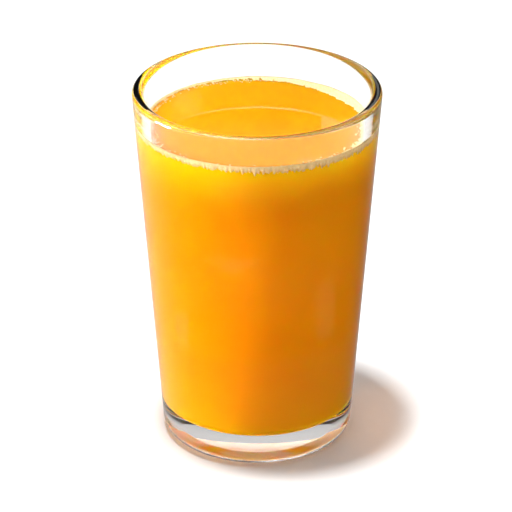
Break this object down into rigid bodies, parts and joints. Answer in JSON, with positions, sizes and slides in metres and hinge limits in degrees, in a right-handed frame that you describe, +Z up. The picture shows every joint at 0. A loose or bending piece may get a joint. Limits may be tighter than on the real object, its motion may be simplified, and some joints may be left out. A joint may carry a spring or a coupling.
{
  "type": "glass of orange juice",
  "caption": "Straight tapered clear glass tumbler with a thick base and rounded rim, filled nearly to the top with orange juice that has a thin ring of froth at its edge.",
  "frame": {"origin": "on the table, under the middle of the tumbler's foot", "axes": "+Z up along the tumbler's axis; the pictured side faces -Y"},
  "size_m": [0.0798, 0.0798, 0.121],
  "materials": {
    "clear_glass": "clear polished glass",
    "juice": "opaque cloudy liquid with a wet, level surface",
    "froth": "fine pale bubbles"
  },
  "bodies": {
    "root": {"tumbler": "clear_glass", "juice": "juice", "froth": "froth"}
  },
  "joints": []
}
